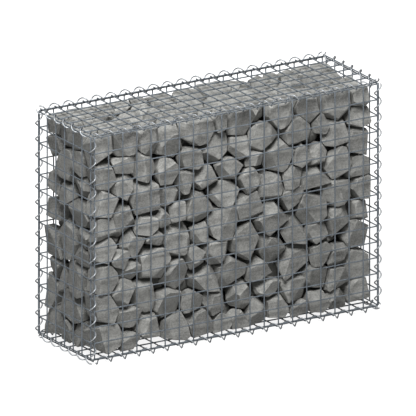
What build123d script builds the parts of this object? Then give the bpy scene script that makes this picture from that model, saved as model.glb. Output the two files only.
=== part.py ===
from build123d import *
import math
import os

os.makedirs("parts", exist_ok=True)

# Driving sizes in millimetres
mesh = 50
wire = 4
spiral_wire = 3.4
seat = 0.3
fill_side_gap = 9
fill_end_gap = 14
fill_top_gap = 12
fill_corner = 34
fill_brow = 26
fill_joint = 7

# Counts
cells_long = 20
cells_deep = 6
cells_high = 14
wire_sides = 8
spiral_sides = 6
chords_per_turn = 8
lifts = 3

# Shares and angles in degrees
half_share = 0.5
full_turn = 360
bar_turn = half_share * full_turn / wire_sides

# Sizes that follow
half_long = half_share * cells_long * mesh
half_deep = half_share * cells_deep * mesh
high = cells_high * mesh
wire_radius = half_share * wire
spiral_wire_radius = half_share * spiral_wire
panel_gap = wire + wire_radius + seat
outer_row = panel_gap + wire_radius
inner_row = panel_gap - wire_radius
wire_reach = outer_row * math.sqrt(half_share)
spiral_radius = wire_reach + wire_radius + seat + spiral_wire_radius
corner_radius = spiral_radius / math.cos(math.pi / chords_per_turn)


# Welded mesh panels
def straight_wire(length):
    section = RegularPolygon(wire_radius, wire_sides, major_radius=False, rotation=bar_turn)
    return extrude(section, half_share * length, both=True)


def mesh_panel(across, upward):
    """Flat welded panel about its middle: upright wires on the outer row at +Z, level wires on the inner row."""
    width = across * mesh
    height = upward * mesh
    upright = straight_wire(height + wire).rotate(Axis.X, full_turn / 4)
    level = straight_wire(width + wire).rotate(Axis.Y, full_turn / 4)
    lefts = [half_share * (2 * i - across) * mesh for i in range(across + 1)]
    rises = [half_share * (2 * k - upward) * mesh for k in range(upward + 1)]
    uprights = [Pos(x, 0, wire_radius) * upright for x in lefts]
    levels = [Pos(0, y, -wire_radius) * level for y in rises]
    return uprights[0].fuse(*uprights[1:], *levels)


def stand(panel, x, y, outward):
    """Stand a panel on edge with its outer row facing the given way."""
    middle = Plane(origin=(x, y, half_share * high), x_dir=(-outward[1], outward[0], 0), z_dir=(*outward, 0))
    return middle * panel


face_panel = mesh_panel(cells_long, cells_high)
end_panel = mesh_panel(cells_deep, cells_high)
flat_panel = mesh_panel(cells_long, cells_deep)

pieces = {}
pieces["mesh_front"] = stand(face_panel, 0, -half_deep - panel_gap, (0, -1))
pieces["mesh_back"] = stand(face_panel, 0, half_deep + panel_gap, (0, 1))
pieces["mesh_left"] = stand(end_panel, -half_long - panel_gap, 0, (-1, 0))
pieces["mesh_right"] = stand(end_panel, half_long + panel_gap, 0, (1, 0))
pieces["mesh_lid"] = Pos(0, 0, high + panel_gap) * flat_panel
pieces["mesh_base"] = Pos(0, 0, -panel_gap) * flat_panel.rotate(Axis.X, half_share * full_turn)


# Spirals laced round each pair of edge wires
def spiral(turns):
    """Right-handed coil up the Z axis, one turn to each mesh, in straight chords mitred where they meet."""
    corners = []
    for step in range(turns * chords_per_turn + 1):
        angle = math.tau * step / chords_per_turn
        rise = mesh * step / chords_per_turn
        corners.append((corner_radius * math.cos(angle), corner_radius * math.sin(angle), rise))
    path = Polyline(*corners)
    section = Plane(origin=path @ 0, z_dir=path % 0) * RegularPolygon(spiral_wire_radius, spiral_sides)
    return sweep(section, path, transition=Transition.RIGHT)


def seat_point(first, second, outward):
    """Axis of a coil drawn outward until it bears on both of the wires it holds together."""
    a = Vector(*first)
    b = Vector(*second)
    across = b - a
    side = Vector(-across.Y, across.X)
    if side.dot(Vector(*outward)) < 0:
        side = -side
    slack = math.sqrt(max(wire_reach**2 - (half_share * across.length) ** 2, 0))
    return (a + b) * half_share + side.normalized() * slack


long_spiral = spiral(cells_long)
deep_spiral = spiral(cells_deep)
upright_spiral = spiral(cells_high)

# Name, depth side, height side and start angle of the spirals along the length
long_edges = [
    ("spiral_lid_front", -1, 1, 70),
    ("spiral_lid_back", 1, 1, 68),
    ("spiral_base_front", -1, -1, 193),
    ("spiral_base_back", 1, -1, 300),
]
for name, deep_side, high_side, start in long_edges:
    level = high if high_side > 0 else 0
    panel_wire = (deep_side * (half_deep + inner_row), level)
    cover_wire = (deep_side * half_deep, level + high_side * inner_row)
    axis = seat_point(panel_wire, cover_wire, (deep_side, high_side))
    place = Plane(origin=(-half_long, axis.X, axis.Y), x_dir=(0, 1, 0), z_dir=(1, 0, 0))
    pieces[name] = place * Rot(0, 0, start) * long_spiral

# Name, end side, height side and start angle of the spirals along the depth
deep_edges = [
    ("spiral_lid_left", -1, 1, 288),
    ("spiral_lid_right", 1, 1, 20),
    ("spiral_base_left", -1, -1, 173),
    ("spiral_base_right", 1, -1, 130),
]
for name, end_side, high_side, start in deep_edges:
    level = high if high_side > 0 else 0
    panel_wire = (level, end_side * (half_long + inner_row))
    cover_wire = (level + high_side * outer_row, end_side * half_long)
    axis = seat_point(panel_wire, cover_wire, (high_side, end_side))
    place = Plane(origin=(axis.Y, -half_deep, axis.X), x_dir=(0, 0, 1), z_dir=(0, 1, 0))
    pieces[name] = place * Rot(0, 0, start) * deep_spiral

# Name, end side, depth side and start angle of the upright spirals
upright_edges = [
    ("spiral_front_left", -1, -1, 128),
    ("spiral_front_right", 1, -1, 0),
    ("spiral_back_left", -1, 1, 53),
    ("spiral_back_right", 1, 1, 60),
]
for name, end_side, deep_side, start in upright_edges:
    face_wire = (end_side * half_long, deep_side * (half_deep + outer_row))
    end_wire = (end_side * (half_long + outer_row), deep_side * half_deep)
    axis = seat_point(face_wire, end_wire, (end_side, deep_side))
    pieces[name] = Pos(axis.X, axis.Y, 0) * Rot(0, 0, start) * upright_spiral

# Stone fill in level lifts, clear of the mesh all round
fill_long = half_long - fill_end_gap
fill_deep = half_deep - fill_side_gap
fill_floor = wire_radius + seat - inner_row
fill_high = high - fill_top_gap - fill_floor
lift_high = fill_high / lifts - seat
plan = chamfer(Rectangle(2 * fill_long, 2 * fill_deep).vertices(), fill_corner)
names = ["stone_lower", "stone_middle", "stone_upper"]
for i, name in enumerate(names):
    block = extrude(plan, lift_high)
    under = fill_brow if i == 0 else fill_joint
    over = fill_brow if i == lifts - 1 else fill_joint
    block = chamfer(block.faces().sort_by(Axis.Z)[0].edges(), under)
    block = chamfer(block.faces().sort_by(Axis.Z)[-1].edges(), over)
    pieces[name] = Pos(0, 0, fill_floor + i * (lift_high + seat)) * block

# Stand everything on the floor and write one file to a piece
floor = min(piece.bounding_box().min.Z for piece in pieces.values())
for name, piece in pieces.items():
    export_step(Pos(0, 0, -floor) * piece, os.path.join("parts", name + ".step"))
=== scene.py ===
import math

import bpy
import numpy as np
from mathutils import Matrix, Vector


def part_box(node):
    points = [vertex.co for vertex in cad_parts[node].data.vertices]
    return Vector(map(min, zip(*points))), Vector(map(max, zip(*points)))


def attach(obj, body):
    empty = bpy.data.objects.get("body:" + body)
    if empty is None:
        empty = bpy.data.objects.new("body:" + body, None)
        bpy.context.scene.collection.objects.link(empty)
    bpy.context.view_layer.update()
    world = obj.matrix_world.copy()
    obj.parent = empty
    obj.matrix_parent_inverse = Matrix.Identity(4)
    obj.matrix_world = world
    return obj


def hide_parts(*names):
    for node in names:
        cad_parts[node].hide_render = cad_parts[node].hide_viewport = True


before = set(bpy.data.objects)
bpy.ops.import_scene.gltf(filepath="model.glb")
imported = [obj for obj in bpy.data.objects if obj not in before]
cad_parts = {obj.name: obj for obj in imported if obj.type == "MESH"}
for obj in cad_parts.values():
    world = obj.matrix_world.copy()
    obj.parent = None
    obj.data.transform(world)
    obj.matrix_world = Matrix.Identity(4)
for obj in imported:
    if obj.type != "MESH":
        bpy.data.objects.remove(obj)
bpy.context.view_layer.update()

# Axis numbers
LONG, DEEP, UP = range(3)

# Sizes of the basket in metres, read from the solids where they give them
front_low, front_high = (np.array(corner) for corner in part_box("mesh_front"))
CELLS = np.array([20, 6, 14])
WIRE = (front_high[DEEP] - front_low[DEEP]) / 2
MESH = (front_high[LONG] - front_low[LONG] - WIRE) / CELLS[LONG]
SPIRAL_WIRE = 0.0034
SEAT = 0.0003
HALF_LONG, HALF_DEEP, HIGH = CELLS * MESH * (0.5, 0.5, 1.0)
FOOT = front_low[UP] + WIRE / 2
PANEL_GAP = -(front_low[DEEP] + WIRE) - HALF_DEEP
OUTER_ROW = PANEL_GAP + WIRE / 2
INNER_ROW = PANEL_GAP - WIRE / 2
WIRE_REACH = OUTER_ROW / math.sqrt(2)
SPIRAL_RADIUS = WIRE_REACH + WIRE / 2 + SEAT + SPIRAL_WIRE / 2

# How the wires are drawn, nipped off, bent a little and welded
WIRE_SIDES = 10
WIRE_STEP = MESH / 2
NIP_LENGTH = 0.0004
NIP_SHARE = 0.72
SWAY_ASIDE = 0.00018
SWAY_OUT = 0.00010
SWAY_WAVES = np.array([17.0, 41.0])
BEAD_HALF_WIDE = 0.0021
BEAD_HALF_THICK = 0.0011
BEAD_SIDES = 8
BEAD_RINGS = 3
COIL_STATIONS = 22
COIL_SIDES = 8
COATED_COIL = SPIRAL_WIRE + 2 * SEAT

# The stones in metres: a stone's reach is half its size
STONES = 440
FILL_SEED = 7
STONE_REACH = (0.030, 0.056)
STONE_STRETCH = (0.82, 1.18)
SETTLING_STEPS = 220
PUSH_SHARE = 0.3
WALL_SHARE = 0.8
WALL_DRAW = 0.12
BESIDE_SHARE = 1.25
MEETING_SHARE = 1.25
OWN_FACES = (7, 10)
FACE_SCATTER = 0.40
FACE_DEPTH = (0.74, 0.98)
LAID_DEPTH = 0.82
LAID_TILT = 0.17
CORNER_TILT = 0.15
LAID_CLEAR = 0.92
CORNER_CLEAR = 0.62
OUTER_REACH = 1.15
MESH_SPARE = 0.005
CUT_LEAN = 0.2
STONE_GAP = (0.0009, 0.0027)
EDGE_WEAR = (0.0003, 0.0008)
CHIP_SHARE = 0.12
CHIP_WEAR = 0.0022
BLUNT_EDGE = 0.96
GRAIN_SPREAD = 9.0
FILL_END_GAP = 0.0075
FILL_SIDE_GAP = 0.0015
FILL_TOP_GAP = 0.004
SIX_WAYS = np.concatenate([np.eye(3), -np.eye(3)])
SMALLEST_EDGE = 0.0002
LEAST_CROSSING = 1e-9
LEAST_STONE = 0.018
LIFTS = ("lower", "middle", "upper")

# The zinc's and the stone's patterns: scales count features to the metre, reliefs are in metres
SPANGLE_SCALE = 420.0
DULL_SCALE = 38.0
BLOOM_SCALE = 95.0
DRAWN_SCALE = 900.0
ZINC_RELIEF = 0.0004
CLOUD_SCALE = 26.0
BEDDING_SCALE = (16.0, 26.0, 150.0)
BEDDING_TURN = (0.5, 0.3, 0.9)
COARSE_SCALE = 170.0
FINE_SCALE = 620.0
SPECK_SCALE = 300.0
STAIN_SCALE = 9.0
STONE_RELIEF = 0.005
STONE_GREYS = (0.125, 0.27, 0.43)
STONE_BLUE_SHARE = 0.95
STAIN_COLOUR = (0.29, 0.275, 0.235, 1.0)

# The photograph's view: turned left, raised, without perspective
VIEW_TURN = math.radians(31.6)
VIEW_RISE = math.radians(18.17)
PICTURE_SIDE = 416
PIXELS_PER_METRE = 332.2
PICTURE_SHIFT = np.array([-0.39, 0.15]) / PIXELS_PER_METRE
CAMERA_DISTANCE = 4.0

# The studio
LAMP_DISTANCE = 4.0
FLOOR_HALF = 6.0
FLOOR_GREY = 0.32
FLOOR_GLOW = 0.88
QUIET_LIGHT = 0.05


# Meshes from arrays
def mesh_piece(name, points, groups, smooth):
    """One object from an array of points and groups of faces.

    Each group is an array of corner numbers, with the same count of corners to every face. Points that no
    face uses are left out.
    """
    mesh = bpy.data.meshes.new(name)
    used, corners = np.unique(np.concatenate([group.ravel() for group in groups]), return_inverse=True)
    counts = np.concatenate([np.full(len(group), group.shape[1]) for group in groups])
    shading = np.concatenate([np.full(len(group), flag) for group, flag in zip(groups, smooth)])
    mesh.vertices.add(len(used))
    mesh.vertices.foreach_set("co", np.asarray(points, np.float32)[used].ravel())
    mesh.loops.add(len(corners))
    mesh.loops.foreach_set("vertex_index", corners.astype(np.int32))
    mesh.polygons.add(len(counts))
    mesh.polygons.foreach_set("loop_start", (np.cumsum(counts) - counts).astype(np.int32))
    mesh.polygons.foreach_set("use_smooth", shading)
    mesh.update(calc_edges=True)
    piece = bpy.data.objects.new(name, mesh)
    bpy.context.scene.collection.objects.link(piece)
    return piece


def face_mark(piece, name, kind, field, values):
    """A value on every face of a piece, for its finish to read."""
    mark = piece.data.attributes.new(name, kind, "FACE")
    mark.data.foreach_set(field, np.asarray(values, np.float32).ravel())


def stand_for(piece, node):
    """The piece takes a solid's place on the basket's one body."""
    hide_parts(node)
    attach(piece, "root")
    return piece


def unit_axis(axis):
    """Unit vector along axis 0, 1 or 2, counted round."""
    return np.eye(3)[axis % 3]


# Wires
def carried_ring(path, across, upward, radius, sides):
    """Round wires: a ring of the given sides carried along each path.

    Point (w, j, k) is path[w, j] + radius[j] * (cos(a) * across + sin(a) * upward), with a the share
    k / sides of a turn. Returns the points, the side quads and the two end caps of every wire.
    """
    wires, stations = path.shape[:2]
    turn = np.arange(sides) * (math.tau / sides)
    ring = np.cos(turn)[:, None] * across[..., None, :] + np.sin(turn)[:, None] * upward[..., None, :]
    points = path[:, :, None, :] + radius[:, None, None] * ring
    number = np.arange(wires * stations * sides).reshape(wires, stations, sides)
    following = np.roll(number, -1, axis=2)
    quads = np.stack([number[:, :-1], following[:, :-1], following[:, 1:], number[:, 1:]], -1)
    caps = np.concatenate([number[:, 0, ::-1], number[:, -1]])
    return points.reshape(-1, 3), quads.reshape(-1, 4), caps


def weld_beads(centres, normal):
    """Flattened beads, one at each centre.

    Point (i, j) of a bead is its centre plus an ellipsoid's point at latitude i and longitude j: half the
    bead's width in the panel's plane, half its thickness along the normal. A point at each pole closes it.
    """
    latitude = np.linspace(-0.5, 0.5, BEAD_RINGS + 2)[1:-1, None] * math.pi
    longitude = np.arange(BEAD_SIDES) * (math.tau / BEAD_SIDES)
    first, second, pole = unit_axis(normal + 1), unit_axis(normal + 2), unit_axis(normal)
    around = np.cos(longitude)[:, None] * first + np.sin(longitude)[:, None] * second
    rings = BEAD_HALF_WIDE * np.cos(latitude)[..., None] * around
    rings = rings + BEAD_HALF_THICK * np.sin(latitude)[..., None] * pole
    bead = np.concatenate([rings.reshape(-1, 3), [-BEAD_HALF_THICK * pole, BEAD_HALF_THICK * pole]])
    points = centres[:, None, :] + bead
    number = np.arange(BEAD_RINGS * BEAD_SIDES).reshape(BEAD_RINGS, BEAD_SIDES)
    following = np.roll(number, -1, axis=1)
    quads = np.stack([number[:-1], following[:-1], following[1:], number[1:]], -1).reshape(-1, 4)
    below = np.stack([np.full(BEAD_SIDES, len(bead) - 2), following[0], number[0]], -1)
    above = np.stack([np.full(BEAD_SIDES, len(bead) - 1), number[-1], following[-1]], -1)
    step = (np.arange(len(centres)) * len(bead))[:, None, None]
    ends = np.concatenate([below, above])
    return points.reshape(-1, 3), (quads + step).reshape(-1, 4), (ends + step).reshape(-1, 3)


def sway(rng, along, wires):
    """Faint waviness of each wire: the sum of two long sines along it, each of random phase."""
    phase = rng.uniform(0, math.tau, (len(SWAY_WAVES), wires, 1))
    return np.sin(np.multiply.outer(SWAY_WAVES, along)[:, None, :] + phase).sum(0)


def wire_row(rng, run, aside, places, low, high, level):
    """Paths of parallel wires along one axis from low to high, one at each place aside, all at one level.

    Each path is straight but for its sway, and the first and last station are nipped to a smaller radius.
    """
    stations = round((high - low) / WIRE_STEP) + 1
    inner = np.linspace(low + NIP_LENGTH, high - NIP_LENGTH, stations)
    along = np.concatenate([[low], inner, [high]])
    path = np.zeros((len(places), len(along), 3))
    path[..., run] = along
    path[..., aside] = places[:, None] + SWAY_ASIDE * sway(rng, along, len(places))
    path[..., 3 - run - aside] = level + SWAY_OUT * sway(rng, along, len(places))
    radius = np.full(len(along), WIRE / 2)
    radius[[0, -1]] *= NIP_SHARE
    return path, radius


def mesh_panel(side, across, upward, outward, level, across_span, upward_span, seed):
    """Welded panel: wires along upward in the outer row, along across in the inner row, a bead at every weld.

    level is where the two rows meet, and outward is +1 or -1 along the panel's own normal axis.
    """
    rng = np.random.default_rng(seed)
    normal = 3 - across - upward
    places = np.linspace(*across_span, CELLS[across] + 1)
    rises = np.linspace(*upward_span, CELLS[upward] + 1)
    points, quads, caps, start = [], [], [], 0
    for run, aside, spots, span, row in (
        (upward, across, places, upward_span, outward),
        (across, upward, rises, across_span, -outward),
    ):
        low, high = span[0] - WIRE / 2, span[1] + WIRE / 2
        path, radius = wire_row(rng, run, aside, spots, low, high, level + row * WIRE / 2)
        ring = carried_ring(path, unit_axis(run + 1), unit_axis(run + 2), radius, WIRE_SIDES)
        points.append(ring[0])
        quads.append(ring[1] + start)
        caps.append(ring[2] + start)
        start += len(ring[0])
    centres = np.zeros((len(places), len(rises), 3))
    centres[..., across] = places[:, None]
    centres[..., upward] = rises
    centres[..., normal] = level
    bead_points, bead_quads, bead_ends = weld_beads(centres.reshape(-1, 3), normal)
    groups = [np.concatenate(quads), np.concatenate(caps), bead_quads + start, bead_ends + start]
    points = np.concatenate([*points, bead_points])
    piece = mesh_piece("wires_" + side, points, groups, [True, False, True, True])
    return stand_for(piece, "mesh_" + side)


def seat_point(first, second, outward):
    """Axis of a coil drawn outward until it bears on both of its wires.

    It is the middle of the two wires, moved square to their line by the leg of the right triangle whose
    other leg is half their distance and whose long side is the coil's reach.
    """
    first, second = np.array(first), np.array(second)
    across = second - first
    side = np.array([-across[1], across[0]]) / np.linalg.norm(across)
    side = side * np.sign(side @ np.array(outward))
    return (first + second) / 2 + side * math.sqrt(max(WIRE_REACH**2 - across @ across / 4, 0))


def spiral(edge, run, axis, low, start):
    """Helix of round wire along one edge.

    At turn t it is t meshes along, and at the angle start plus t whole turns about its axis.
    """
    turn = np.linspace(0, CELLS[run], CELLS[run] * COIL_STATIONS + 1)
    angle = (turn * math.tau + math.radians(start))[:, None]
    first, second, along = unit_axis(run + 1), unit_axis(run + 2), unit_axis(run)
    out = np.cos(angle) * first + np.sin(angle) * second
    forward = SPIRAL_RADIUS * (np.cos(angle) * second - np.sin(angle) * first) + MESH / math.tau * along
    forward = forward / np.linalg.norm(forward, axis=1)[:, None]
    middle = axis[0] * first + axis[1] * second + (low + turn[:, None] * MESH) * along
    path = middle + SPIRAL_RADIUS * out
    radius = np.full(len(turn), COATED_COIL / 2)
    radius[[0, -1]] *= NIP_SHARE
    upward = np.cross(forward, out)
    points, quads, caps = carried_ring(path[None], out[None], upward[None], radius, COIL_SIDES)
    piece = mesh_piece("coil_" + edge, points, [quads, caps], [True, False])
    return stand_for(piece, "spiral_" + edge)


# Loose stones
def settled_stones(rng, low, high):
    """Middles and reaches of all stones: random places, pushed apart until their mean reaches about meet.

    In each step a stone moves away from those that it overlaps by a share of the overlap, and one that is
    near a side of the room is drawn to it. A stone's reach is its half size along X, Y and Z.
    """
    reach = rng.uniform(*STONE_REACH, (STONES, 1)) * rng.uniform(*STONE_STRETCH, (STONES, 3))
    mean = reach.mean(1)
    middles = rng.uniform(low, high, (STONES, 3))
    nearest, farthest = low + WALL_SHARE * mean[:, None], high - WALL_SHARE * mean[:, None]
    others = 1 - np.eye(STONES)
    for _ in range(SETTLING_STEPS):
        apart = middles[:, None] - middles
        distance = np.linalg.norm(apart, axis=2) + np.eye(STONES)
        overlap = np.clip(mean[:, None] + mean - distance, 0, None) * others
        middles = middles + PUSH_SHARE * (apart * (overlap / distance)[..., None]).sum(1)
        below, above = middles - nearest, farthest - middles
        middles -= WALL_DRAW * np.where(below < mean[:, None], below, 0)
        middles += WALL_DRAW * np.where(above < mean[:, None], above, 0)
        middles = np.clip(middles, nearest, farthest)
    return middles, reach


def unit_rows(vectors):
    """Each row divided by its length."""
    return vectors / np.linalg.norm(vectors, axis=-1, keepdims=True)


def broken_faces(rng, count):
    """Directions spread evenly over a ball by the golden angle, then scattered and turned at random."""
    step = np.arange(count) + 0.5
    height = 1 - 2 * step / count
    angle = step * math.pi * (3 - math.sqrt(5)) + rng.uniform(0, math.tau)
    wide = np.sqrt(1 - height**2)
    around = np.stack([wide * np.cos(angle), wide * np.sin(angle), height], -1)
    around = unit_rows(around + rng.normal(0, FACE_SCATTER, around.shape))
    return around @ np.linalg.qr(rng.normal(size=(3, 3)))[0]


def joined_points(points):
    """For each point the number of its group, where points nearer than the smallest edge are one group.

    Every point takes the lowest number among the points near it, again and again until none changes.
    """
    near = np.linalg.norm(points[:, None] - points, axis=2) < SMALLEST_EDGE
    before, group = None, np.arange(len(points))
    while not np.array_equal(before, group):
        before, group = group, np.where(near, group, len(points)).min(1)
    return np.unique(group, return_inverse=True)[1]


def cut_solid(normals, depths):
    """The solid inside all planes normal . x = depth: its corners, its faces and the plane of each face.

    Every three planes a, b, c meet at (da * (b x c) + db * (c x a) + dc * (a x b)) / (a . (b x c)), and the
    point is a corner where it lies inside all the others. A face is the corners on one plane, in order of
    angle about its normal. Corners nearer than the smallest edge become one.
    """
    index = np.arange(len(depths))
    three = np.argwhere((index[:, None, None] < index[:, None]) & (index[:, None] < index))
    a, b, c = normals[three].transpose(1, 0, 2)
    depth = depths[three, None]
    across = np.cross(b, c)
    volume = (a * across).sum(1)
    meeting = depth[:, 0] * across + depth[:, 1] * np.cross(c, a) + depth[:, 2] * np.cross(a, b)
    crossing = np.abs(volume) > LEAST_CROSSING
    meeting, three = meeting[crossing] / volume[crossing, None], three[crossing]
    outside = meeting @ normals.T - depths
    # A point counts as inside the three planes that it lies on
    np.put_along_axis(outside, three, -1.0, axis=1)
    inside = (outside <= 0).all(1)
    points, three = meeting[inside], three[inside]
    group = joined_points(points)
    member = group == np.arange(group.max(initial=-1) + 1)[:, None]
    corners = member @ points / member.sum(1)[:, None]
    faces, planes = [], []
    for plane in np.unique(three):
        ring = np.flatnonzero((three == plane).any(1))
        side = np.cross(normals[plane], unit_axis(np.abs(normals[plane]).argmin()))
        spread = points[ring] - points[ring].mean(0)
        angle = np.arctan2(spread @ np.cross(normals[plane], side), spread @ side)
        ring = group[ring[np.argsort(angle)]]
        ring = ring[ring != np.roll(ring, 1)]
        if len(ring) > 2:
            faces.append(ring)
            planes.append(plane)
    return corners, faces, np.array(planes, int)


def worn_solid(rng, normals, depths):
    """A cut solid with its edges worn.

    One more plane is cut along each edge, halfway between its two faces and a little in. A few edges are
    chipped deeper. A point where only two faces meet is no corner and is left out of both. Also tells which
    of the faces are worn edges.
    """
    corners, faces, planes = cut_solid(normals, depths)
    normals, depths = normals[planes], depths[planes]
    touching = np.zeros((len(corners), len(planes)))
    for number, face in enumerate(faces):
        touching[face, number] = 1
    shared = np.triu(touching.T @ touching, 1) >= 2
    first, second = np.nonzero(shared & (normals @ normals.T < BLUNT_EDGE))
    halfway = unit_rows(normals[first] + normals[second])
    chipped = rng.random(len(first)) < CHIP_SHARE
    wear = rng.uniform(*EDGE_WEAR, len(first)) + chipped * rng.uniform(0, CHIP_WEAR, len(first))
    on_edge = np.argmax(touching[:, first] * touching[:, second], axis=0)
    edge_depth = (halfway * corners[on_edge]).sum(1) - wear
    normals, depths = np.concatenate([normals, halfway]), np.concatenate([depths, edge_depth])
    corners, faces, worn_planes = cut_solid(normals, depths)
    meeting = np.bincount(np.concatenate(faces))
    faces = [face[meeting[face] > 2] for face in faces]
    kept = [number for number, face in enumerate(faces) if len(face) > 2]
    return corners, [faces[number] for number in kept], worn_planes[kept] >= len(planes)


def stone_faces(rng, reach, beside):
    """A stone's own planes: scattered broken faces, and a flat face laid toward each wall that it is beside.

    Broken faces that would look at that wall, or into the corner of two walls, are left out. A face's depth
    is the stone's reach along its normal times a random share. Six outer planes close it on every side.
    """
    faces = broken_faces(rng, rng.integers(*OWN_FACES))
    tilt = LAID_TILT
    if len(beside) > 0:
        corner = unit_rows(beside.sum(0))
        faces = faces[faces @ corner < (LAID_CLEAR if len(beside) == 1 else CORNER_CLEAR)]
    if len(beside) > 1:
        tilt = CORNER_TILT
    laid = unit_rows(beside + rng.normal(0, tilt, beside.shape))
    normals = np.concatenate([faces, laid])
    depths = np.linalg.norm(normals * reach, axis=1) * rng.uniform(*FACE_DEPTH, len(normals))
    depths[len(faces):] *= LAID_DEPTH
    outer = OUTER_REACH * np.tile(reach, 2)
    return np.concatenate([normals, SIX_WAYS]), np.concatenate([depths, outer])


def stone_pile(rng, low, high):
    """All stones, each as its middle, corners, faces and the marks of its worn faces.

    A stone beside a wall of the room is drawn to it. Two stones that would meet share one leaning plane
    between them, at the share of their distance that their reaches give, and each keeps a little clear of it.
    What that leaves too thin for a stone is left out.
    """
    middles, reach = settled_stones(rng, low, high)
    limits = np.concatenate([high, -low])
    mean = reach.mean(1)
    beside = limits - middles @ SIX_WAYS.T < BESIDE_SHARE * mean[:, None]
    own = []
    for i in range(STONES):
        normals, depths = stone_faces(rng, reach[i], SIX_WAYS[beside[i]])
        corners = cut_solid(normals, depths)[0]
        spare = limits - SIX_WAYS @ middles[i] - (corners @ SIX_WAYS.T).max(0)
        drawn = spare - rng.uniform(0, MESH_SPARE, len(SIX_WAYS))
        shift = np.where(beside[i], drawn, np.minimum(spare, 0))
        middles[i] += shift[:3] - shift[3:]
        own.append((normals, depths))
    lean = rng.normal(0, CUT_LEAN, (STONES, STONES, 3))
    lean = (lean - lean.transpose(1, 0, 2)) / math.sqrt(2)
    stones = []
    for i in range(STONES):
        away = middles - middles[i]
        far = np.linalg.norm(away, axis=1)
        near = np.flatnonzero((far > 0) & (far < MEETING_SHARE * (mean[i] + mean)))
        toward = away[near] / far[near, None]
        mine = np.linalg.norm(toward * reach[i], axis=1)
        theirs = np.linalg.norm(toward * reach[near], axis=1)
        cut = unit_rows(toward + lean[i, near])
        cut_depth = (cut * away[near]).sum(1) * mine / (mine + theirs)
        cut_depth = cut_depth - rng.uniform(*STONE_GAP, len(near))
        room = limits - SIX_WAYS @ middles[i]
        normals = np.concatenate([own[i][0], cut, SIX_WAYS[beside[i]]])
        depths = np.concatenate([own[i][1], cut_depth, room[beside[i]]])
        corners, faces, worn = worn_solid(rng, normals, depths)
        if np.ptp(corners, axis=0).min() > LEAST_STONE:
            stones.append((middles[i], corners, faces, worn))
    return stones


def stone_lift(rng, lift, stones):
    """One lift of stones joined into a mesh.

    Every face carries its stone's tone and grain, and whether it is a worn edge.
    """
    start = np.cumsum([0] + [len(corners) for _, corners, _, _ in stones])
    points = np.concatenate([middle + corners for middle, corners, _, _ in stones])
    faces = [face + first for (_, _, own, _), first in zip(stones, start) for face in own]
    owner = np.concatenate([np.full(len(own), number) for number, (_, _, own, _) in enumerate(stones)])
    worn = np.concatenate([marks for _, _, _, marks in stones])
    counts = np.array([len(face) for face in faces])
    kinds = np.unique(counts)
    order = np.concatenate([np.flatnonzero(counts == kind) for kind in kinds])
    groups = [np.stack([faces[number] for number in np.flatnonzero(counts == kind)]) for kind in kinds]
    piece = mesh_piece("stones_" + lift, points, groups, [False] * len(groups))
    owner = owner[order]
    tone = rng.normal(size=len(stones))
    grain = rng.uniform(-GRAIN_SPREAD, GRAIN_SPREAD, (len(stones), 3))
    face_mark(piece, "tone", "FLOAT", "value", tone[owner])
    face_mark(piece, "grain", "FLOAT_VECTOR", "vector", grain[owner])
    face_mark(piece, "edge", "FLOAT", "value", worn[order])
    return stand_for(piece, "stone_" + lift)


# Shader expressions
class Value:
    """A socket's value; arithmetic on it adds Math nodes."""

    def __init__(self, nodes, socket):
        self.nodes = nodes
        self.socket = socket

    def math(self, operation, first, second):
        return self.nodes.add("ShaderNodeMath", {"operation": operation}, {0: first, 1: second})

    def __add__(self, other):
        return self.math("ADD", self, other)

    def __radd__(self, other):
        return self.math("ADD", other, self)

    def __sub__(self, other):
        return self.math("SUBTRACT", self, other)

    def __rsub__(self, other):
        return self.math("SUBTRACT", other, self)

    def __mul__(self, other):
        return self.math("MULTIPLY", self, other)

    def __rmul__(self, other):
        return self.math("MULTIPLY", other, self)


class Nodes:
    """The nodes of one material or world."""

    def __init__(self, tree):
        self.tree = tree

    def feed(self, socket, value):
        """A link from a value, or a plain number or colour set on the socket."""
        if isinstance(value, Value):
            self.tree.links.new(value.socket, socket)
        else:
            socket.default_value = value

    def add(self, kind, settings, sockets, out=0):
        """A node of any kind: its settings first, then its sockets' values or links; gives one output."""
        made = self.tree.nodes.new(kind)
        for key, value in settings.items():
            if key == "stops":
                for place, color in value[1:-1]:
                    made.color_ramp.elements.new(place).color = color
                made.color_ramp.elements[0].color = value[0][1]
                made.color_ramp.elements[-1].color = value[-1][1]
            else:
                setattr(made, key, value)
        for key, value in sockets.items():
            self.feed(made.inputs[key], value)
        return Value(self, made.outputs[out])

    def mix(self, factor, first, second):
        """Mix of two colours by a factor."""
        return self.add("ShaderNodeMix", {"data_type": "RGBA"}, {0: factor, 6: first, 7: second}, 2)

    def limit(self, value, low, high, to_low=0.0, to_high=1.0):
        """A value carried from one range to another and held there."""
        sockets = {0: value, 1: low, 2: high, 3: to_low, 4: to_high}
        return self.add("ShaderNodeMapRange", {"clamp": True}, sockets)

    def noise(self, vector, scale, detail=3.0, rough=0.55, distortion=0.0):
        """Cloudy noise, from 0 to 1."""
        sockets = {"Vector": vector, "Scale": scale, "Detail": detail}
        sockets.update({"Roughness": rough, "Distortion": distortion})
        return self.add("ShaderNodeTexNoise", {}, sockets)

    def backdrop_ray(self):
        """1 for what sees the backdrop itself: the camera, a reflection or a clear body."""
        seen = self.add("ShaderNodeLightPath", {}, {}, "Is Camera Ray")
        mirrored = self.add("ShaderNodeLightPath", {}, {}, "Is Glossy Ray")
        through = self.add("ShaderNodeLightPath", {}, {}, "Is Transmission Ray")
        return self.limit(seen + mirrored + through, 0.0, 1.0)


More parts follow.
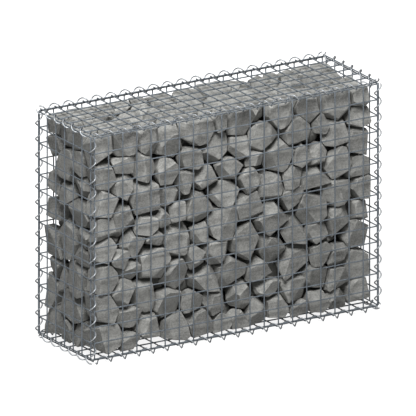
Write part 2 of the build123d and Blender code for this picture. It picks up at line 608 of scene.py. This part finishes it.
class Finish(Nodes):
    """The nodes of one material, with its shader and output made."""

    def __init__(self, name):
        self.material = bpy.data.materials.new(name)
        self.material.use_nodes = True
        super().__init__(self.material.node_tree)
        self.tree.nodes.clear()
        self.shader = self.tree.nodes.new("ShaderNodeBsdfPrincipled")
        output = self.tree.nodes.new("ShaderNodeOutputMaterial")
        self.tree.links.new(self.shader.outputs[0], output.inputs["Surface"])

    def done(self, sockets):
        """Feeds the shader's sockets and gives the material."""
        for key, value in sockets.items():
            self.feed(self.shader.inputs[key], value)
        return self.material


# Finishes
def zinc_grey(level, blue):
    """Galvanised grey at a linear level, tinted a share toward blue."""
    return (level * (1 - blue), level, level * (1 + blue), 1.0)


def stone_grey(level):
    """The stone's grey at a linear level: a little short of blue, as dry broken stone is."""
    return (level, level, level * STONE_BLUE_SHARE, 1.0)


def plain_grey(level):
    """A neutral grey at a linear level."""
    return (level, level, level, 1.0)


def zinc_finish(name, level, blue, rough, metal, gloss, rim):
    """Galvanised wire: blue-grey zinc with crystal spangle, dull patches, white bloom and drawing marks.

    gloss is how much its dull film mirrors, and rim how much its metal mirrors along the surface.
    """
    nodes = Finish(name)
    spot = nodes.add("ShaderNodeTexCoord", {}, {}, "Object")
    crystal = nodes.add("ShaderNodeTexVoronoi", {}, {"Vector": spot, "Scale": SPANGLE_SCALE}, "Color")
    spangle = nodes.add("ShaderNodeSeparateColor", {}, {0: crystal})
    cloud = nodes.noise(spot, DULL_SCALE, 4.0)
    bloom = nodes.limit(nodes.noise(spot, BLOOM_SCALE, 5.0, 0.65), 0.54, 0.72)
    drawn = nodes.noise(spot, DRAWN_SCALE, 2.0)
    tone = nodes.limit(spangle * 0.5 + cloud * 0.5, 0.25, 0.75)
    zinc = nodes.mix(tone, zinc_grey(level * 0.75, blue), zinc_grey(level * 1.2, blue))
    colour = nodes.mix(bloom * 0.5, zinc, zinc_grey(level * 1.6, blue))
    height = drawn * 0.5 + spangle * 0.5
    bump = {"Strength": 0.25, "Distance": ZINC_RELIEF, "Height": height}
    relief = nodes.add("ShaderNodeBump", {}, bump)
    return nodes.done({
        "Base Color": colour,
        "Metallic": metal - bloom * 0.3,
        "Roughness": rough + cloud * 0.18 + bloom * 0.15,
        "Specular IOR Level": gloss,
        "Specular Tint": plain_grey(rim),
        "Normal": relief,
    })


def stone_finish():
    """Broken grey stone: a tone to each stone, clouds, bedding streaks, two grains, and a painted highlight
    that makes the worn edges paler.
    """
    nodes = Finish("broken_stone")
    spot = nodes.add("ShaderNodeTexCoord", {}, {}, "Object")
    grain = nodes.add("ShaderNodeAttribute", {"attribute_name": "grain"}, {}, "Vector")
    tone = nodes.add("ShaderNodeAttribute", {"attribute_name": "tone"}, {}, "Fac")
    edge = nodes.add("ShaderNodeAttribute", {"attribute_name": "edge"}, {}, "Fac")
    own = nodes.add("ShaderNodeVectorMath", {"operation": "ADD"}, {0: spot, 1: grain})
    cloud = nodes.noise(own, CLOUD_SCALE, 5.0, 0.6)
    bedding = {"Vector": own, "Rotation": BEDDING_TURN, "Scale": BEDDING_SCALE}
    streak = nodes.noise(nodes.add("ShaderNodeMapping", {}, bedding), 1.0, 4.0, 0.6, 0.6)
    coarse = nodes.noise(own, COARSE_SCALE, 3.0, 0.7)
    fine = nodes.noise(own, FINE_SCALE, 2.0, 0.7)
    speck = nodes.limit(nodes.noise(own, SPECK_SCALE, 2.0), 0.63, 0.70)
    stain = nodes.limit(nodes.noise(own, STAIN_SCALE, 3.0), 0.60, 0.78)
    clouds = (cloud - 0.5) * 0.8 + (streak - 0.5) * 0.7
    grains = (coarse - 0.5) * 1.3 + (fine - 0.5) * 1.0 + speck * 0.14
    stops = [(place, stone_grey(level)) for place, level in zip((0.0, 0.5, 1.0), STONE_GREYS)]
    # The worn edge faces are made paler here: a painted edge highlight, not a colour of their own.
    shade = 0.5 + tone * 0.09 + edge * 0.12 + clouds + grains
    stone = nodes.add("ShaderNodeValToRGB", {"stops": stops}, {0: shade})
    height = cloud * 0.45 + streak * 0.25 + coarse * 0.25 + fine * 0.06
    bump = {"Strength": 0.7, "Distance": STONE_RELIEF, "Height": height}
    relief = nodes.add("ShaderNodeBump", {}, bump)
    return nodes.done({
        "Base Color": nodes.mix(stain * 0.16, stone, STAIN_COLOUR),
        "Roughness": 0.76 + fine * 0.25,
        "Normal": relief,
    })


# The basket
LONG_SPAN = (-HALF_LONG, HALF_LONG)
DEEP_SPAN = (-HALF_DEEP, HALF_DEEP)
HIGH_SPAN = (FOOT, FOOT + HIGH)
panels = [
    mesh_panel("front", LONG, UP, -1, -HALF_DEEP - PANEL_GAP, LONG_SPAN, HIGH_SPAN, seed=11),
    mesh_panel("back", LONG, UP, 1, HALF_DEEP + PANEL_GAP, LONG_SPAN, HIGH_SPAN, seed=12),
    mesh_panel("left", DEEP, UP, -1, -HALF_LONG - PANEL_GAP, DEEP_SPAN, HIGH_SPAN, seed=13),
    mesh_panel("right", DEEP, UP, 1, HALF_LONG + PANEL_GAP, DEEP_SPAN, HIGH_SPAN, seed=14),
    mesh_panel("lid", LONG, DEEP, 1, FOOT + HIGH + PANEL_GAP, LONG_SPAN, DEEP_SPAN, seed=15),
    mesh_panel("base", LONG, DEEP, -1, FOOT - PANEL_GAP, LONG_SPAN, DEEP_SPAN, seed=16),
]

# The spirals: the edge's name, its two sides, and the angle in degrees at which the coil starts
coils = []
for edge, deep_side, high_side, start in (
    ("lid_front", -1, 1, 70),
    ("lid_back", 1, 1, 68),
    ("base_front", -1, -1, 193),
    ("base_back", 1, -1, 300),
):
    level = HIGH_SPAN[high_side > 0]
    panel_wire = (deep_side * (HALF_DEEP + INNER_ROW), level)
    cover_wire = (deep_side * HALF_DEEP, level + high_side * INNER_ROW)
    axis = seat_point(panel_wire, cover_wire, (deep_side, high_side))
    coils.append(spiral(edge, LONG, axis, -HALF_LONG, start))
for edge, end_side, high_side, start in (
    ("lid_left", -1, 1, 288),
    ("lid_right", 1, 1, 20),
    ("base_left", -1, -1, 173),
    ("base_right", 1, -1, 130),
):
    level = HIGH_SPAN[high_side > 0]
    panel_wire = (level, end_side * (HALF_LONG + INNER_ROW))
    cover_wire = (level + high_side * OUTER_ROW, end_side * HALF_LONG)
    axis = seat_point(panel_wire, cover_wire, (high_side, end_side))
    coils.append(spiral(edge, DEEP, axis, -HALF_DEEP, start))
for edge, end_side, deep_side, start in (
    ("front_left", -1, -1, 128),
    ("front_right", 1, -1, 0),
    ("back_left", -1, 1, 53),
    ("back_right", 1, 1, 60),
):
    face_wire = (end_side * HALF_LONG, deep_side * (HALF_DEEP + OUTER_ROW))
    end_wire = (end_side * (HALF_LONG + OUTER_ROW), deep_side * HALF_DEEP)
    axis = seat_point(face_wire, end_wire, (end_side, deep_side))
    coils.append(spiral(edge, UP, axis, FOOT, start))

# The fill
rng = np.random.default_rng(FILL_SEED)
room_half = np.array([HALF_LONG - FILL_END_GAP, HALF_DEEP - FILL_SIDE_GAP])
room_low = np.array([*-room_half, FOOT - INNER_ROW + WIRE / 2 + SEAT])
room_high = np.array([*room_half, FOOT + HIGH - FILL_TOP_GAP])
pile = stone_pile(rng, room_low, room_high)
levels = np.linspace(room_low[UP], room_high[UP], len(LIFTS) + 1)
stones = [
    stone_lift(rng, lift, [stone for stone in pile if low <= stone[0][UP] < high])
    for lift, low, high in zip(LIFTS, levels, levels[1:])
]

for pieces, finish in (
    (panels, zinc_finish("mesh_zinc", level=0.165, blue=0.12, rough=0.40, metal=0.35, gloss=0.25, rim=0.4)),
    (coils, zinc_finish("coil_zinc", level=0.28, blue=0.05, rough=0.32, metal=0.75, gloss=0.1, rim=0.03)),
    (stones, stone_finish()),
):
    for piece in pieces:
        piece.data.materials.append(finish)


# Studio
def studio_floor():
    """Level floor: it shows white to the eye with a soft shadow, and throws little light back."""
    side = FLOOR_HALF * np.array([[-1, -1, 0], [1, -1, 0], [1, 1, 0], [-1, 1, 0]])
    floor = mesh_piece("studio_floor", side, [np.arange(4)[None]], [False])
    nodes = Finish("studio_white")
    glow = nodes.mix(nodes.backdrop_ray(), plain_grey(0.0), plain_grey(FLOOR_GLOW))
    floor.data.materials.append(nodes.done({
        "Base Color": plain_grey(FLOOR_GREY),
        "Roughness": 1.0,
        "Specular IOR Level": 0.0,
        "Emission Color": glow,
        "Emission Strength": 1.0,
    }))


def studio_world():
    """White to the eye and in reflections, a quiet even light elsewhere."""
    world = bpy.data.worlds.new("studio")
    world.use_nodes = True
    nodes = Nodes(world.node_tree)
    light = world.node_tree.nodes["Background"].inputs
    nodes.feed(light["Color"], plain_grey(1.0))
    nodes.feed(light["Strength"], nodes.limit(nodes.backdrop_ray(), 0.0, 1.0, QUIET_LIGHT, 1.0))
    bpy.context.scene.world = world


def placed(thing, right, back, place):
    """A lamp or camera at a place, facing along -back with right to its right."""
    matrix = np.eye(4)
    matrix[:3] = np.stack([right, np.cross(back, right), back, place], -1)
    holder = bpy.data.objects.new(thing.name, thing)
    holder.matrix_world = Matrix(matrix.tolist())
    bpy.context.scene.collection.objects.link(holder)
    return holder


def facing(turn, rise):
    """Right and back directions of what looks at the wall from a turn and a rise.

    A turn of 0 is in front of the wall, and a negative one to the left.
    """
    right = np.array([math.cos(turn), math.sin(turn), 0])
    level = np.array([math.sin(turn), -math.cos(turn), 0])
    return right, level * math.cos(rise) + np.array([0, 0, math.sin(rise)])


def softbox(name, turn, rise, size, watts):
    """Square lamp at a turn and rise in degrees, aimed at the wall's middle."""
    lamp = bpy.data.lights.new(name, "AREA")
    lamp.shape = "SQUARE"
    lamp.size = size
    lamp.energy = watts
    right, back = facing(math.radians(turn), math.radians(rise))
    return placed(lamp, right, back, back * LAMP_DISTANCE + np.array([0, 0, FOOT + HIGH / 2]))


def photo_camera():
    """Camera without perspective, framed as the photograph."""
    camera = bpy.data.cameras.new("photo_camera")
    camera.type = "ORTHO"
    camera.ortho_scale = PICTURE_SIDE / PIXELS_PER_METRE
    right, back = facing(-VIEW_TURN, VIEW_RISE)
    shift = right * PICTURE_SHIFT[0] + np.cross(back, right) * PICTURE_SHIFT[1]
    middle = np.array([0, 0, FOOT + HIGH / 2]) + shift
    bpy.context.scene.camera = placed(camera, right, back, middle + back * CAMERA_DISTANCE)


studio_floor()
studio_world()
softbox("key", turn=-36, rise=54, size=1.7, watts=251)
softbox("back", turn=146, rise=20, size=2.4, watts=100).visible_glossy = False
photo_camera()
bpy.context.scene.view_settings.view_transform = "Standard"
